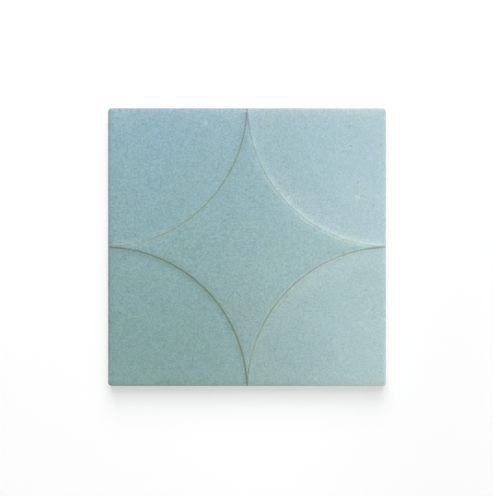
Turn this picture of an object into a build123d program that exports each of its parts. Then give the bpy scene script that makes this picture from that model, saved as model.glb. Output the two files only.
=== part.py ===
from build123d import *
import math
import os

# Square glazed relief tile, pressed and fired as one piece.
#
# A four-pointed star with concave sides stands proud of four sunk fields, each
# struck with a compass from just outside a corner of the tile. A shallow cove rises
# from each field to a low wall with a crisp arris, and behind the arris the star's
# face eases over to its flat. The star's points run out as thin ridges near the
# middle of the four edges. The back has a flat border round a row of keying grooves
# for the adhesive.
#
# Millimetres. The tile lies on its back: the origin is the middle of the back,
# +Z points out of the glazed face and the edges run along X and Y.

# Body
side = 150.0
field_thickness = 8.0
corner_radius = 1.9
face_edge_radius = 0.8
back_bevel = 0.9

# Star relief
star_rise = 1.2
field_radius = 77.5
strike_out = 2.2
cove_width = 3.6
cove_rise = 0.44
wall_width = 0.7
arris_radius = 0.35
easing_width = 5.0
easing_drop = 0.28

# Ends of the star's points
tip_setback = 1.2
tip_slope = 32.0
tip_round = 2.0

# Keying grooves
groove_width = 5.0
groove_depth = 0.9
groove_draft = 30.0
rib_width = 6.0
back_border = 9.0

star_top = field_thickness + star_rise
cove_slope = 2 * math.atan2(cove_rise, cove_width)
groove_pitch = groove_width + rib_width
groove_count = int((side - 2 * back_border + rib_width) // groove_pitch)

# One sunk field as a turned cutter, from its compass point out over the star's edge.
with BuildPart() as field_cutter:
    with BuildSketch(Plane.XZ) as field_section:
        with BuildLine():
            foot = (field_radius - wall_width - cove_width, field_thickness)
            wall_foot = (field_radius - wall_width, field_thickness + cove_rise)
            arris = (field_radius, star_top - easing_drop)
            flat_edge = (field_radius + easing_width, star_top)
            clear_height = star_top + star_rise
            Line((0, field_thickness), foot)
            TangentArc(foot, wall_foot, tangent=(1, 0))
            TangentArc(wall_foot, arris, tangent=(math.cos(cove_slope), math.sin(cove_slope)))
            TangentArc(flat_edge, arris, tangent=(-1, 0))
            Polyline(
                flat_edge,
                (flat_edge[0], clear_height),
                (0, clear_height),
                (0, field_thickness),
            )
        make_face()
        rim = field_section.vertices().filter_by_position(Axis.X, field_radius, field_radius)
        fillet(rim, arris_radius)
    revolve(axis=Axis.Z)

with BuildPart() as tile:
    # The slab, with its soft face edge and the bevel that clears the joint at the back.
    with BuildSketch():
        RectangleRounded(side, side, corner_radius)
    extrude(amount=field_thickness)
    fillet(tile.edges().group_by(Axis.Z)[-1], face_edge_radius)
    chamfer(tile.edges().group_by(Axis.Z)[0], back_bevel)

    # The star's height over the whole face, sloping down just inside the edges.
    with BuildSketch(Plane.XY.offset(field_thickness)):
        Rectangle(side - 2 * tip_setback, side - 2 * tip_setback)
    extrude(amount=star_rise, taper=90 - tip_slope)
    fillet(tile.edges().group_by(Axis.Z)[-1], tip_round)

    # The four fields, which leave the star between them.
    with GridLocations(side + 2 * strike_out, side + 2 * strike_out, 2, 2):
        add(field_cutter.part, mode=Mode.SUBTRACT)

    # The keying grooves, which stop short of the border.
    with BuildSketch():
        with GridLocations(0, groove_pitch, 1, groove_count):
            SlotOverall(side - 2 * back_border, groove_width)
    extrude(amount=groove_depth, taper=groove_draft, mode=Mode.SUBTRACT)

tile.part.label = "tile"
os.makedirs("parts", exist_ok=True)
export_step(tile.part, "parts/tile.step")
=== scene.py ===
import math
import bpy
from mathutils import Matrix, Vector


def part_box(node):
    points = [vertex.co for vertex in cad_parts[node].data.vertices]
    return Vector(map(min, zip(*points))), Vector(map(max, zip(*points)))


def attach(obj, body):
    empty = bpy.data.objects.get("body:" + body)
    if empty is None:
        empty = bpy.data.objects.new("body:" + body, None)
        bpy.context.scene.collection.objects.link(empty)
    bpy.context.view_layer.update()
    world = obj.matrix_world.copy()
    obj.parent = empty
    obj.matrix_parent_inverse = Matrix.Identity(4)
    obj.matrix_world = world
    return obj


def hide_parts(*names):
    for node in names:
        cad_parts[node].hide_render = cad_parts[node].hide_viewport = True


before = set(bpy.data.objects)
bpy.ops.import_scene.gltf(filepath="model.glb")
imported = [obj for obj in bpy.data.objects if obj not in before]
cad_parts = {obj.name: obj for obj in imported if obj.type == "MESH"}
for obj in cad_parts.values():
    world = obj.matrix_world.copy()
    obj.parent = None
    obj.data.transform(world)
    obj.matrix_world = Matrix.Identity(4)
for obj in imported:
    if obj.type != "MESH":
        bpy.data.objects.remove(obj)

bpy.context.scene.view_settings.view_transform = "Standard"
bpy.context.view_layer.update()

# The tile
# One square of porcelain clay, pressed face up, glazed and fired as one piece. The
# mould was turned from a point just outside each corner, so four sunk fields leave a
# star standing between them, and the melted glaze has softened every edge of it.
mm = 0.001
tile_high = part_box("tile")[1]
half_side = tile_high.x
star_top = tile_high.z
star_rise = 1.2 * mm
field_level = star_top - star_rise

# The star's edge, from the field over the arris to the flat, in reach and height from
# the compass point.
strike_out = 2.2 * mm
compass_point = half_side + strike_out
compass = (compass_point, compass_point, 0)
arris_reach = 77.5 * mm
cove_width = 3.6 * mm
cove_rise = 0.44 * mm
wall_width = 0.7 * mm
melted_arris = 0.2 * mm
easing_width = 5.0 * mm
easing_drop = 0.28 * mm
wall_foot = arris_reach - wall_width
wall_foot_level = field_level + cove_rise
cove_foot = wall_foot - cove_width
arris_level = star_top - easing_drop
flat_edge = arris_reach + easing_width
star_reach = 112 * mm

# The corners and edges, and the width over which the face rolls off towards them.
corner_radius = 1.9 * mm
corner_middle = half_side - corner_radius
face_edge_radius = 0.8 * mm
back_bevel = 0.9 * mm
pillow_width = 6.6 * mm
pillow_drop = 0.50 * mm

# The star's points stop short of the edge of the sheet that the face is turned from.
tip_setback = 1.2 * mm
tip_run_out = 1.9 * mm
sheet_edge = half_side - tip_setback

# How close counts as touching.
hair = 0.001 * mm
weld_gap = 0.004 * mm
close = 0.01 * mm
near = 0.03 * mm


def start_point(name, spot):
    """A new mesh of one point, left in edit mode."""
    bpy.ops.object.select_all(action="DESELECT")
    bpy.ops.mesh.primitive_plane_add(size=mm, location=spot)
    piece = bpy.context.object
    piece.name = name
    piece.data.name = name
    bpy.ops.object.mode_set(mode="EDIT")
    bpy.ops.mesh.select_all(action="SELECT")
    bpy.ops.mesh.merge(type="CENTER")
    bpy.ops.object.mode_set(mode="OBJECT")
    bpy.ops.object.transform_apply(location=True, rotation=True, scale=True)
    bpy.ops.object.mode_set(mode="EDIT")
    bpy.ops.mesh.select_all(action="SELECT")
    return piece


def draw_on(points):
    """Extrude what is selected through a chain of points, from the first to the last."""
    for here, there in zip(points, points[1:]):
        step = [b - a for a, b in zip(here, there)]
        bpy.ops.mesh.extrude_region_move(TRANSFORM_OT_translate={"value": step})


def middle_of(mesh, edge):
    """The middle of an edge."""
    first, second = [mesh.vertices[i].co for i in edge.vertices]
    return (first + second) / 2


def pick(piece, kind, test):
    """Select the points, edges or faces whose middle passes a test, and nothing else."""
    bpy.ops.object.mode_set(mode="EDIT")
    bpy.ops.mesh.select_mode(type=kind)
    bpy.ops.mesh.select_all(action="DESELECT")
    bpy.ops.object.mode_set(mode="OBJECT")
    mesh = piece.data
    if kind == "VERT":
        for point in mesh.vertices:
            point.select = test(point.co)
    elif kind == "EDGE":
        for edge in mesh.edges:
            edge.select = test(middle_of(mesh, edge))
    else:
        for face in mesh.polygons:
            face.select = test(face.center)
    bpy.ops.object.mode_set(mode="EDIT")


def use(piece, kind, name, **values):
    """Add a modifier and apply it at once."""
    bpy.ops.object.mode_set(mode="OBJECT")
    modifier = piece.modifiers.new(name, kind)
    for key, value in values.items():
        setattr(modifier, key, value)
    bpy.context.view_layer.objects.active = piece
    bpy.ops.object.modifier_apply(modifier=modifier.name)


def level_run(start, end, level, steps):
    """Points of a level run in reach and height."""
    return [(start + (end - start) * i / steps, level) for i in range(1, steps + 1)]


def arc_on(start, end, slope, steps):
    """Points of an arc in reach and height that leaves its start at a given slope."""
    run = end[0] - start[0]
    rise = end[1] - start[1]
    chord = math.atan2(rise, run)
    radius = math.hypot(run, rise) / (2 * math.sin(chord - slope))
    turns = [slope + 2 * (chord - slope) * i / steps for i in range(1, steps + 1)]
    across = [start[0] + radius * (math.sin(t) - math.sin(slope)) for t in turns]
    up = [start[1] + radius * (math.cos(slope) - math.cos(t)) for t in turns]
    return list(zip(across, up))


# Spin turns clockwise for a positive angle.
quarter_turn = math.radians(-90)


def turn_sheet(name, section, spokes):
    """Draw a section from the compass point along -X, and turn it through a quarter."""
    points = [(compass_point - reach, compass_point, level) for reach, level in section]
    sheet = start_point(name, points[0])
    draw_on(points)
    bpy.ops.mesh.select_all(action="SELECT")
    bpy.ops.mesh.spin(steps=spokes, center=compass, axis=(0, 0, 1), angle=quarter_turn)
    return sheet


# The field near the corner is turned with few spokes.
corner_start = 0.5 * mm
corner_reach = 34 * mm
corner_section = [(corner_start, field_level)]
corner_section += level_run(corner_start, corner_reach, field_level, steps=14)
corner_field = turn_sheet("corner_field", corner_section, spokes=20)
bpy.ops.object.mode_set(mode="OBJECT")

# The rest of the field, the cove, the arris, the easing and the star are turned finer.
open_ring = 2 * mm
ring_start = corner_reach + open_ring
cove_slope = 2 * math.atan2(cove_rise, cove_width)
easing_slope = 2 * math.atan2(easing_drop, easing_width)
cove_start = (cove_foot, field_level)
wall_start = (wall_foot, wall_foot_level)
arris = (arris_reach, arris_level)
star_section = [(ring_start, field_level)]
star_section += level_run(ring_start, cove_foot, field_level, steps=16)
star_section += arc_on(cove_start, wall_start, slope=0, steps=10)
star_section += arc_on(wall_start, arris, cove_slope, steps=5)
star_section += arc_on(arris, (flat_edge, star_top), easing_slope, steps=8)
star_section += level_run(flat_edge, star_reach, star_top, steps=14)
face = turn_sheet("face", star_section, spokes=80)


# The glaze rounds the arris over.
def reach_of(spot):
    """How far a spot is from the compass point, in plan."""
    return math.hypot(spot.x - compass_point, spot.y - compass_point)


def on_the_arris(spot):
    """True on the edge between the wall and the easing."""
    beside_arris = abs(reach_of(spot) - arris_reach)
    return beside_arris < melted_arris / 2 and abs(spot.z - arris_level) < close


pick(face, "EDGE", on_the_arris)
bpy.ops.mesh.bevel(offset=melted_arris, segments=3, affect="EDGES")
bpy.ops.object.mode_set(mode="OBJECT")


# Both turned sheets are joined across the ring left open between them.
def beside_the_open_ring(spot):
    """True near the outer end of one sheet and the inner end of the other."""
    off_field = abs(reach_of(spot) - corner_reach)
    off_star = abs(reach_of(spot) - ring_start)
    return min(off_field, off_star) < open_ring / 4


bpy.ops.object.select_all(action="DESELECT")
corner_field.select_set(True)
face.select_set(True)
bpy.context.view_layer.objects.active = face
bpy.ops.object.join()
pick(face, "EDGE", beside_the_open_ring)
bpy.ops.mesh.bridge_edge_loops()


# One quarter of the sheet is kept, and rows are cut along its two outer edges.
def cut_sheet(spot, facing, drop_far_side):
    """Cut the whole sheet along a plane."""
    bpy.ops.object.mode_set(mode="EDIT")
    bpy.ops.mesh.select_mode(type="VERT")
    bpy.ops.mesh.select_all(action="SELECT")
    bpy.ops.mesh.bisect(
        plane_co=spot, plane_no=facing, clear_outer=drop_far_side, threshold=hair
    )
    bpy.ops.object.mode_set(mode="OBJECT")


cut_sheet((0, 0, 0), (-1, 0, 0), drop_far_side=True)
cut_sheet((0, 0, 0), (0, -1, 0), drop_far_side=True)
cut_sheet((sheet_edge, 0, 0), (1, 0, 0), drop_far_side=True)
cut_sheet((0, sheet_edge, 0), (0, 1, 0), drop_far_side=True)
insets = [6.3, 5.4, 4.6, 3.9, 3.4, 3.1, 2.8, 2.5, 2.2, 1.9, 1.66, 1.42]
rows = [half_side - inset * mm for inset in insets]
for row in rows:
    cut_sheet((row, 0, 0), (1, 0, 0), drop_far_side=False)
    cut_sheet((0, row, 0), (0, 1, 0), drop_far_side=False)
rows.append(sheet_edge)


# The star's points run out just short of the rim, and the face rolls off towards it.
def smooth_step(amount):
    """0 below 0, 1 above 1, and a smooth rise between."""
    amount = min(max(amount, 0), 1)
    return amount * amount * (3 - 2 * amount)


height_left = 1.0
dropped = 0.0
for row in rows:
    inset = half_side - row
    height_here = smooth_step((inset - tip_setback) / tip_run_out)
    drop_here = pillow_drop * (1 - inset / pillow_width) ** 3
    pick(face, "VERT", lambda spot: max(spot.x, spot.y) > row - close)
    keep = height_here / height_left if height_left > 0 else 0
    bpy.ops.transform.resize(value=(1, 1, keep), center_override=(0, 0, field_level - dropped))
    bpy.ops.transform.translate(value=(0, 0, dropped - drop_here))
    height_left = height_here
    dropped = drop_here

# The square corner of the sheet makes way for the round one of the tile.
pick(face, "FACE", lambda spot: min(spot.x, spot.y) > corner_middle)
bpy.ops.mesh.delete(type="FACE")

# The rounded edge, the side and the back bevel are drawn out of both outer edges of the
# sheet, and turned round the corner between them.
fall = 3 * pillow_drop * (1 - tip_setback / pillow_width) ** 2 / pillow_width
rim_start = half_side - face_edge_radius
rim_level = field_level - dropped - fall * (rim_start - sheet_edge)
edge_round = face_edge_radius / (1 - math.sin(fall))
edge_steps = 10
rim_section = [(sheet_edge, field_level - dropped)]
for i in range(edge_steps + 1):
    turned = fall + (math.pi / 2 - fall) * i / edge_steps
    out = half_side - edge_round * (1 - math.sin(turned))
    rim_section.append((out, rim_level - edge_round * (math.cos(fall) - math.cos(turned))))
side_rows = (4.6 * mm, 2.8 * mm, back_bevel)
rim_section += [(half_side, level) for level in side_rows]
rim_section.append((half_side - back_bevel, 0))


def pick_open(piece, test):
    """Select the open edges whose middle passes a test, and nothing else."""
    pick(piece, "EDGE", lambda spot: False)
    bpy.ops.mesh.select_non_manifold()
    bpy.ops.object.mode_set(mode="OBJECT")
    mesh = piece.data
    chosen = [e.index for e in mesh.edges if e.select and test(middle_of(mesh, e))]
    pick(piece, "EDGE", lambda spot: False)
    bpy.ops.object.mode_set(mode="OBJECT")
    for number in chosen:
        mesh.edges[number].select = True
    bpy.ops.object.mode_set(mode="EDIT")


pick_open(face, lambda spot: spot.x > sheet_edge - near)
draw_on([(out, 0, level) for out, level in rim_section])
pick_open(face, lambda spot: spot.y > sheet_edge - near and spot.x < corner_middle)
draw_on([(0, out, level) for out, level in rim_section])
pick_open(face, lambda spot: abs(spot.y - corner_middle) < near and spot.x > corner_middle)
corner = (corner_middle, corner_middle, 0)
bpy.ops.mesh.spin(steps=8, center=corner, axis=(0, 0, 1), angle=quarter_turn)
pick(face, "VERT", lambda spot: min(spot.x, spot.y) > corner_middle - near)
bpy.ops.mesh.remove_doubles(threshold=weld_gap)
use(face, "MIRROR", "four quarters", use_axis=(True, True, False), merge_threshold=hair)

# The back is closed flat.
pick(face, "EDGE", lambda spot: spot.z < close)
bpy.ops.mesh.edge_face_add()
bpy.ops.mesh.select_all(action="SELECT")
bpy.ops.mesh.normals_make_consistent(inside=False)
bpy.ops.object.mode_set(mode="OBJECT")

# The press leaves twelve keying grooves with sloping walls in the back. Their block
# starts a little below the back, and widens there as its walls do.
groove_length = 132 * mm
groove_width = 5.0 * mm
groove_depth = 0.9 * mm
groove_draft = math.radians(30)
groove_pitch = 11 * mm
groove_count = 12
below_back = 0.2 * mm
first_groove = -groove_pitch * (groove_count - 1) / 2
block_middle = (groove_depth - below_back) / 2
widened = 2 * below_back * math.tan(groove_draft)
mouth_length = groove_length + widened
mouth_width = groove_width + widened
bpy.ops.object.select_all(action="DESELECT")
bpy.ops.mesh.primitive_cube_add(size=1, location=(0, first_groove, block_middle))
grooves = bpy.context.object
grooves.name = "grooves"
grooves.scale = (mouth_length, mouth_width, groove_depth + below_back)
bpy.ops.object.transform_apply(location=True, rotation=True, scale=True)

# The ends are rounded until they all but meet, and the bottom is drawn in.
end_round = mouth_width / 2 * 0.999
pick(grooves, "EDGE", lambda spot: abs(spot.z - block_middle) < close)
bpy.ops.mesh.bevel(offset=end_round, segments=8, affect="EDGES")
taper = 2 * (groove_depth + below_back) * math.tan(groove_draft)
drawn_in = (1 - taper / mouth_length, 1 - taper / mouth_width, 1)
pick(grooves, "VERT", lambda spot: spot.z > block_middle)
bpy.ops.transform.resize(value=drawn_in, center_override=(0, first_groove, 0))
use(
    grooves,
    "ARRAY",
    "a row of grooves",
    count=groove_count,
    use_relative_offset=False,
    use_constant_offset=True,
    constant_offset_displace=(0, groove_pitch, 0),
)
use(face, "BOOLEAN", "pressed into the back", operation="DIFFERENCE", object=grooves)
bpy.data.objects.remove(grooves)

sharp_from = math.radians(35)
bpy.ops.object.select_all(action="DESELECT")
face.select_set(True)
bpy.context.view_layer.objects.active = face
bpy.ops.object.shade_smooth_by_angle(angle=sharp_from)

# The glaze is a blue-green that drifts from bluer at the upper left to greener at the
# lower left and paler at the lower right; its paling towards the right is partly painted
# light, standing in for the light that falls from the right. It is thin over the arris,
# where the khaki body shows through, and the dark line there is partly painted shade.
# The back and the foot of the sides are bare fired clay.
upper_left = (0.244, 0.402, 0.464, 1)
upper_right_and_light = (0.361, 0.513, 0.552, 1)
lower_left = (0.197, 0.331, 0.322, 1)
lower_right_and_light = (0.377, 0.524, 0.539, 1)
khaki_body_and_shade = (0.150, 0.210, 0.125, 1)
pale_clay = (0.640, 0.590, 0.520, 1)
dark_clay = (0.540, 0.490, 0.420, 1)


def clear_nodes(owner):
    """Give a material or the world an empty node tree."""
    owner.use_nodes = True
    owner.node_tree.nodes.clear()
    return owner.node_tree


def add_node(kind, label, **values):
    """Add a node to the tree in hand, with a label and its settings."""
    node = tree.nodes.new(kind)
    node.label = label
    for key, value in values.items():
        setattr(node, key, value)
    return node


def feed(socket, source):
    """Link a source into a socket, or set the socket to a plain value."""
    if isinstance(source, bpy.types.NodeSocket):
        tree.links.new(source, socket)
    else:
        socket.default_value = source


def put_out(result, kind="ShaderNodeOutputMaterial"):
    """Show a finished shader."""
    feed(add_node(kind, "output").inputs["Surface"], result)


def work(operation, label, *sources):
    """A Math node."""
    node = add_node("ShaderNodeMath", label, operation=operation)
    for socket, source in zip(node.inputs, sources):
        feed(socket, source)
    return node.outputs[0]


def spread_over(value, low, high, label, to_low=0.0, to_high=1.0):
    """A smooth Map Range from one span to another."""
    node = add_node("ShaderNodeMapRange", label, interpolation_type="SMOOTHSTEP")
    names = ("Value", "From Min", "From Max", "To Min", "To Max")
    for name, source in zip(names, (value, low, high, to_low, to_high)):
        feed(node.inputs[name], source)
    return node.outputs["Result"]


def blend_colour(share, first, second, label, how="MIX"):
    """A Mix node for colours, whose sockets are numbers 6 and 7, and 2 at its output."""
    node = add_node("ShaderNodeMix", label, data_type="RGBA", blend_type=how)
    feed(node.inputs["Factor"], share)
    feed(node.inputs[6], first)
    feed(node.inputs[7], second)
    return node.outputs[2]


def blend_number(share, first, second, label):
    """A Mix node for numbers, whose sockets are numbers 2 and 3, and 0 at its output."""
    node = add_node("ShaderNodeMix", label, data_type="FLOAT")
    feed(node.inputs["Factor"], share)
    feed(node.inputs[2], first)
    feed(node.inputs[3], second)
    return node.outputs[0]


def tint(colour, amounts, label):
    """Multiply a colour's red, green and blue, each by a plain amount or a source."""
    node = add_node("ShaderNodeCombineColor", label)
    for socket, amount in zip(node.inputs, amounts):
        feed(socket, amount)
    return blend_colour(1.0, colour, node.outputs[0], label, "MULTIPLY")


def cloud(scale, detail, label, seed):
    """A Noise texture on the tile, of about 1 / scale metres."""
    node = add_node("ShaderNodeTexNoise", label, noise_dimensions="4D")
    node.inputs["Scale"].default_value = scale
    node.inputs["Detail"].default_value = detail
    node.inputs["W"].default_value = seed
    feed(node.inputs["Vector"], on_tile)
    return node.outputs["Fac"]


def about(source, middle, span, label):
    """Swing a cloud about a middle value."""
    return work("MULTIPLY_ADD", label, work("SUBTRACT", "about 0", source, 0.5), span, middle)


glaze = bpy.data.materials.new("glaze over clay")
tree = clear_nodes(glaze)
on_tile = add_node("ShaderNodeTexCoord", "place on the tile").outputs["Object"]
split = add_node("ShaderNodeSeparateXYZ", "across, along, up")
feed(split.inputs[0], on_tile)
across, along, height = split.outputs
across_share = work("MULTIPLY", "across, -1 to 1", across, 1 / half_side)
along_share = work("MULTIPLY", "along, -1 to 1", along, 1 / half_side)
diagonal = work("ADD", "towards the upper right", across_share, along_share)

# Distance past the arris, from the nearest compass point, and off the tile's middle.
off_middle_x = work("ABSOLUTE", "either side", across)
off_middle_y = work("ABSOLUTE", "either end", along)
off_middle = work("MAXIMUM", "off the middle", off_middle_x, off_middle_y)
from_x = work("SUBTRACT", "to the compass point", off_middle_x, compass_point)
from_y = work("SUBTRACT", "to the compass point", off_middle_y, compass_point)
x_squared = work("MULTIPLY", "x squared", from_x, from_x)
reach_squared = work("MULTIPLY_ADD", "x squared and y squared", from_y, from_y, x_squared)
reach = work("SQRT", "reach from the compass point", reach_squared)
off_arris = work("SUBTRACT", "past the arris", reach, arris_reach)

# Drift of the colour from corner to corner, paler to the right partly as painted light.
to_right = spread_over(across_share, -0.6, 1.2, "towards the right")
to_top = spread_over(along_share, -0.8, 1.2, "towards the top")
upper = blend_colour(to_right, upper_left, upper_right_and_light, "upper edge")
lower = blend_colour(to_right, lower_left, lower_right_and_light, "lower edge")
glaze_colour = blend_colour(to_top, lower, upper, "glaze colour")

# The star is painted lighter and warmer at its lower left and darker at its upper right
# than the fields beside it: painted light and painted shade for how star and fields face
# the light.
star_low_left_light = (1.079, 1.027, 1.020)
star_up_right_shade = (0.891, 0.935, 0.908)
on_star = spread_over(off_arris, -0.4 * mm, 1.2 * mm, "on the star")
star_light_and_shade = [
    spread_over(diagonal, -1.6, 1.6, "tint of the star", low_left, up_right)
    for low_left, up_right in zip(star_low_left_light, star_up_right_shade)
]
star_lit_and_shaded = tint(glaze_colour, star_light_and_shade, "star")
glaze_colour = blend_colour(on_star, glaze_colour, star_lit_and_shaded, "star over field")

# The glaze lies thinner and warmer towards the top edge, and a little so towards the
# bottom edge, in a band with a wandering edge.
band_start = 61 * mm
band_full = 74 * mm
low_band = 0.55
edge_wander = about(cloud(60, 2, "band", seed=17.0), 0.0, 5 * mm, "wander of the band")
wandering = work("ADD", "along, wandering", along, edge_wander)
thin_top = spread_over(wandering, band_start, band_full, "thin at the top")
thin_low = spread_over(wandering, -band_start, -band_full, "thin below", to_high=low_band)
thin_band = work("ADD", "thin at the top or bottom", thin_top, thin_low)
band_red = work("MULTIPLY_ADD", "red of the band", thin_band, 0.09, 1.0)
band_green = work("MULTIPLY_ADD", "green of the band", thin_band, 0.02, 1.0)
glaze_colour = tint(glaze_colour, (band_red, band_green, 1.0), "thin band")

# It is thin over the rim all round too, where it turns warmer. The rim is also painted
# paler to the right and darker to the left: painted light and shade on the rounded edge.
# Each colour of the rim's tint has a middle value and a swing to either side.
rim_middle = (1.10, 0.96, 0.95)
rim_light_swing = (0.08, 0.08, 0.10)
on_face = spread_over(height, 6.2 * mm, 7.2 * mm, "on the face")
near_rim = spread_over(
    off_middle, half_side - 1.6 * mm, half_side - 0.3 * mm, "near the rim"
)
on_rim = work("MULTIPLY", "on the rim", near_rim, on_face)
rim_tint_and_light = [
    work("MULTIPLY_ADD", "tint of the rim", across_share, swing, middle)
    for swing, middle in zip(rim_light_swing, rim_middle)
]
rim_thin_and_lit = tint(glaze_colour, rim_tint_and_light, "thin on the rim")
glaze_colour = blend_colour(on_rim, glaze_colour, rim_thin_and_lit, "rim over glaze")

# In both right-hand fields it also thins and pales as it climbs towards the arris; the
# pale band is partly a painted highlight where the cove faces the light.
climb_tint_and_highlight = (1.12, 1.06, 1.04)
climbing = spread_over(off_arris, -15 * mm, -2.0 * mm, "climbing to the arris")
in_field = work("SUBTRACT", "in a field", climbing, on_star)
at_right = spread_over(across_share, -0.1, 0.3, "right-hand half")
paling_and_highlight = work("MULTIPLY", "paling_and_highlight", in_field, at_right)
paler = tint(glaze_colour, climb_tint_and_highlight, "paler")
glaze_colour = blend_colour(paling_and_highlight, glaze_colour, paler, "paler up to the arris")

# Soft clouds of bluer and warmer glaze, and a fine even mottle that is calmer to the
# right and a little stronger in red.
red_share = 0.25
broad = cloud(26, 2, "broad clouds", seed=3.1)
patch = cloud(130, 2, "soft patches", seed=5.0)
fleck = cloud(420, 2, "flecks", seed=8.0)
fine = cloud(1000, 2, "fine mottle", seed=1.0)
warm = about(cloud(95, 2, "warm patches", seed=11.0), 0.0, 0.10, "warm swing")
blue = about(cloud(70, 3, "blue patches", seed=14.0), 0.0, 0.16, "blue swing")
mottle = about(fine, 0.0, 0.86, "mottle tone")
mottle = work("ADD", "and flecks", mottle, about(fleck, 0.0, 0.36, "fleck tone"))
mottle = work("ADD", "and patches", mottle, about(patch, 0.0, 0.12, "patch tone"))
calmer = spread_over(across_share, -1.0, 1.2, "calmer to the right", 1.03, 0.58)
mottle = work("MULTIPLY", "mottle, calmed", mottle, calmer)
tone = work("ADD", "and mottle", mottle, about(broad, 1.0, 0.16, "broad tone"))
redness = work("MULTIPLY_ADD", "stronger in red", mottle, red_share, tone)
redness = work("ADD", "warmer", redness, warm)
blueness = work("ADD", "bluer", tone, blue)
glaze_colour = tint(glaze_colour, (redness, tone, blueness), "mottled")

# A few dark pins, in about one cell in six, and pale specks, in one in twelve.
pin_cells = 0.84
speck_cells = 0.08
cells = add_node("ShaderNodeTexVoronoi", "pins")
cells.inputs["Scale"].default_value = 250
feed(cells.inputs["Vector"], on_tile)
cell_colour = add_node("ShaderNodeSeparateColor", "which cells")
feed(cell_colour.inputs[0], cells.outputs["Color"])
cell_number = cell_colour.outputs[0]
dot = spread_over(cells.outputs["Distance"], 0.10, 0.24, "dot", 1.0, 0.0)
has_pin = work("GREATER_THAN", "has a pin", cell_number, pin_cells)
has_speck = work("LESS_THAN", "has a speck", cell_number, speck_cells)
dark = work("MULTIPLY", "dark pins", dot, has_pin)
pale = work("MULTIPLY", "pale specks", dot, has_speck)
specks = work("MULTIPLY_ADD", "specks", pale, 0.10, 1.0)
pins = work("MULTIPLY_ADD", "pins", dark, -0.16, specks)
glaze_colour = tint(glaze_colour, (pins, pins, pins), "pinned")

# Three small pale blotches, where a bubble has burst and healed. Each has its place in
# millimetres across and along, and how pale it is.
blotch_places = ((-22.4, 66.7, 0.34), (59.6, 26.8, 0.26), (-38.6, -16.4, 0.20))
blotch_tint = (1.9, 1.5, 1.35)
ragged = about(fleck, 0.0, 3 * mm, "ragged blotch")
blotches = 0.0
for x, y, paleness in blotch_places:
    off_spot = add_node("ShaderNodeVectorMath", "off a blotch", operation="DISTANCE")
    off_spot.inputs[1].default_value = (x * mm, y * mm, field_level)
    feed(off_spot.inputs[0], on_tile)
    off_blotch = work("ADD", "off a ragged blotch", off_spot.outputs["Value"], ragged)
    blotch = spread_over(off_blotch, 0.3 * mm, 2.2 * mm, "blotch", paleness, 0.0)
    blotches = work("MAXIMUM", "blotches", blotch, blotches)
pale_glaze = tint(glaze_colour, blotch_tint, "pale glaze")
glaze_colour = blend_colour(blotches, glaze_colour, pale_glaze, "blotched")

# The glaze thins over the arris, softly at first, and the khaki body shows through in a
# fine broken line; its dark green-grey is partly painted shade along the narrow wall.
# The line is whole along the star's points, and is painted darker towards the bottom,
# most of all at the right: painted shade where the walls turn away from the light.
tip_share = 0.85
line_wander = about(
    cloud(330, 2, "line", seed=2.0), 0.35 * mm, 0.5 * mm, "wander of the line"
)
wandering_arris = work("ADD", "wandering", off_arris, line_wander)
off_line = work("ABSOLUTE", "off the line", wandering_arris)
breaks = cloud(120, 3, "breaks in the line", seed=6.0)
soft_width = work("MULTIPLY_ADD", "soft width", breaks, 2.4 * mm, 1.4 * mm)
soft_share = work("MULTIPLY_ADD", "less soft at the right", at_right, -0.15, 0.20)
soft_line = spread_over(off_line, 0.2 * mm, soft_width, "soft edge", soft_share, 0.0)
fine_line = spread_over(off_line, 0.10 * mm, 0.52 * mm, "fine line", 1.0, 0.0)
strength = spread_over(breaks, 0.32, 0.62, "broken", 0.30, 0.62)
on_tip = spread_over(off_middle, 58 * mm, 68 * mm, "on a point")
tip_strength = work("MULTIPLY", "clear on the points", on_tip, tip_share)
strength = work("MAXIMUM", "whole on the points", strength, tip_strength)
shade_towards_low = spread_over(diagonal, -0.5, 0.6, "more towards the bottom", 0.8, -0.28)
shade_most_at_right = work("MULTIPLY_ADD", "most at the right", at_right, 0.85, 0.15)
line_and_shade_share = work("MULTIPLY_ADD", "share of the line", shade_most_at_right, shade_towards_low, 1.0)
strength = work("MULTIPLY", "fainter at the upper right", strength, line_and_shade_share)
broken_line = work("MULTIPLY", "broken line", fine_line, strength)
thin = work("MAXIMUM", "thin glaze", soft_line, broken_line)
thin = work("MULTIPLY", "not down the sides", thin, on_face)
glaze_colour = blend_colour(thin, glaze_colour, khaki_body_and_shade, "khaki through the glaze")

# A pale warm fringe runs on each side of the line, where the glaze is only half thin.
fringe_tint = (1.19, 1.11, 1.05)
fringe_off_line = 1.0 * mm
beside_line = work("SUBTRACT", "beside the line", off_line, fringe_off_line)
off_fringe = work("ABSOLUTE", "off the fringe", beside_line)
fringe = spread_over(off_fringe, 0.05 * mm, 0.60 * mm, "fringe", 1.0, 0.0)
where_broken = spread_over(breaks, 0.30, 0.60, "less where whole", 1.0, 0.45)
fringe = work("MULTIPLY", "broken fringe", fringe, where_broken)
fringe = work("MULTIPLY", "not down the sides", fringe, on_face)
fringe_colour = tint(glaze_colour, fringe_tint, "fringe colour")
glaze_colour = blend_colour(fringe, glaze_colour, fringe_colour, "fringe over glaze")

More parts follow.
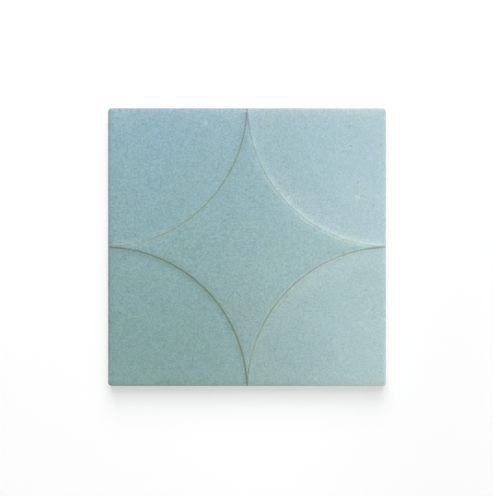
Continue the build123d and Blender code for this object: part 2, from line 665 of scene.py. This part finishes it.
# The glaze ends in a ragged line low on the sides. Below it and at the back is clay.
glaze_foot = 2.4 * mm
foot_fade = 0.15 * mm
foot_cloud = cloud(160, 3, "foot of the glaze", seed=4.0)
foot_swing = work("SUBTRACT", "about 0", foot_cloud, 0.5)
foot_line = work("MULTIPLY_ADD", "ragged foot", foot_swing, 1.6 * mm, height)
glazed = spread_over(foot_line, glaze_foot - foot_fade, glaze_foot + foot_fade, "glazed")
clay_grain = cloud(1400, 3, "clay grain", seed=7.0)
clay_clouds = about(broad, 0.2, 0.8, "clay clouds")
clay_tone = work("MULTIPLY_ADD", "grain and clouds", clay_grain, 0.6, clay_clouds)
clay = blend_colour(clay_tone, dark_clay, pale_clay, "clay")
surface = blend_colour(glazed, clay, glaze_colour, "glaze over clay")

# The clay is dull and the glaze half matt, glossier in some patches than in others.
clay_roughness = 0.85
glaze_roughness = work("MULTIPLY_ADD", "uneven gloss", patch, 0.16, 0.36)
roughness = blend_number(glazed, clay_roughness, glaze_roughness, "roughness")

# A faint orange peel in the glaze, and grain in the clay.
peel = cloud(260, 2, "orange peel", seed=9.0)
relief = work("MULTIPLY_ADD", "peel and grain", clay_grain, 0.2, peel)
bump = add_node("ShaderNodeBump", "orange peel")
bump.inputs["Strength"].default_value = 0.25
bump.inputs["Distance"].default_value = 0.05 * mm
feed(bump.inputs["Height"], relief)

shader = add_node("ShaderNodeBsdfPrincipled", "glaze")
feed(shader.inputs["Base Color"], surface)
feed(shader.inputs["Roughness"], roughness)
feed(shader.inputs["Normal"], bump.outputs[0])
put_out(shader.outputs[0])
face.data.materials.clear()
face.data.materials.append(glaze)

face.name = "glazed_tile"
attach(face, "root")
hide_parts("tile")

# Floor
# A plain white table, open under the tile so that the back shows from below. The shadow
# on it stays, and what the camera sees of it far off is white.
floor_size = 6.0
opening = 147 * mm
bpy.ops.object.select_all(action="DESELECT")
bpy.ops.mesh.primitive_plane_add(size=floor_size, location=(0, 0, 0))
floor = bpy.context.object
floor.name = "floor"
bpy.ops.object.mode_set(mode="EDIT")
bpy.ops.mesh.select_all(action="SELECT")
bpy.ops.mesh.inset(thickness=(floor_size - opening) / 2)
bpy.ops.mesh.delete(type="FACE")
bpy.ops.object.mode_set(mode="OBJECT")

white = (1, 1, 1, 1)
paper_colour = (0.90, 0.90, 0.90, 1)
paper = bpy.data.materials.new("white paper")
tree = clear_nodes(paper)


def seen_or_mirrored():
    """1 where the camera sees it, straight, mirrored or through glass, and 0 elsewhere."""
    rays = add_node("ShaderNodeLightPath", "rays")
    in_mirror = rays.outputs["Is Glossy Ray"]
    in_view = work("MAXIMUM", "seen or mirrored", rays.outputs["Is Camera Ray"], in_mirror)
    return work("MAXIMUM", "or through glass", in_view, rays.outputs["Is Transmission Ray"])


# The paper is lifted to white for the eye alone: a little near the tile, less at its
# right, where more light falls, and fully from 1.2 metres off.
left_lift = 0.100
right_lift = 0.055
on_floor = add_node("ShaderNodeTexCoord", "place on the floor").outputs["Object"]
from_tile = add_node("ShaderNodeVectorMath", "from the tile", operation="LENGTH")
feed(from_tile.inputs[0], on_floor)
floor_split = add_node("ShaderNodeSeparateXYZ", "across the floor")
feed(floor_split.inputs[0], on_floor)
floor_across = floor_split.outputs[0]
near_lift = spread_over(floor_across, 0.0, 0.12, "less at right", left_lift, right_lift)
lift = spread_over(from_tile.outputs["Value"], 0.3, 1.2, "white far off", near_lift, 1.0)
glow = add_node("ShaderNodeEmission", "kept white")
feed(glow.inputs["Strength"], work("MULTIPLY", "where seen", seen_or_mirrored(), lift))
matt = add_node("ShaderNodeBsdfDiffuse", "paper")
matt.inputs["Color"].default_value = paper_colour
both = add_node("ShaderNodeAddShader", "paper and lift")
feed(both.inputs[0], matt.outputs[0])
feed(both.inputs[1], glow.outputs[0])
put_out(both.outputs[0])
floor.data.materials.append(paper)


# Light
# Two big soft boxes beyond the top edge throw the long soft shadow. One high and one low
# at the right model the relief with no shadow of their own, and the room is pale.
def soft_box(name, spot, width, depth, power):
    """A soft box that faces the middle of the tile."""
    lamp = bpy.data.lights.new(name, "AREA")
    lamp.shape = "RECTANGLE"
    lamp.size = width
    lamp.size_y = depth
    lamp.energy = power
    box = bpy.data.objects.new(name, lamp)
    bpy.context.scene.collection.objects.link(box)
    box.location = spot
    box.rotation_euler = (-Vector(spot)).to_track_quat("-Z", "Y").to_euler()
    return lamp


soft_box("low_box", (0, 2.07, 0.99), width=1.8, depth=0.9, power=16.6)
soft_box("top_box", (0, 1.42, 1.79), width=1.8, depth=1.7, power=24.0)
corner_lamp = soft_box("corner_box", (0.78, 0.70, 2.05), width=0.8, depth=0.8, power=9.5)
side_lamp = soft_box("side_box", (1.60, -1.44, 0.80), width=1.2, depth=1.2, power=18.5)
corner_lamp.use_shadow = False
side_lamp.use_shadow = False

room_light = 0.336
world = bpy.data.worlds.new("studio")
bpy.context.scene.world = world
tree = clear_nodes(world)
sky = add_node("ShaderNodeBackground", "studio")
sky.inputs["Color"].default_value = white
seen = seen_or_mirrored()
whiter = work("MULTIPLY_ADD", "white where seen", seen, 1 - room_light, room_light)
feed(sky.inputs["Strength"], whiter)
put_out(sky.outputs[0], "ShaderNodeOutputWorld")

# Camera
# Straight above the tile, as in the photograph, and a hair off its middle.
camera_left = 0.28 * mm
camera_down = 0.52 * mm
middle_level = 8.6 * mm
camera_height = 742.3 * mm + middle_level
lens = bpy.data.cameras.new("camera")
lens.lens = 100
lens.sensor_width = 36
view = bpy.data.objects.new("camera", lens)
bpy.context.scene.collection.objects.link(view)
view.location = (-camera_left, -camera_down, camera_height)
bpy.context.scene.camera = view
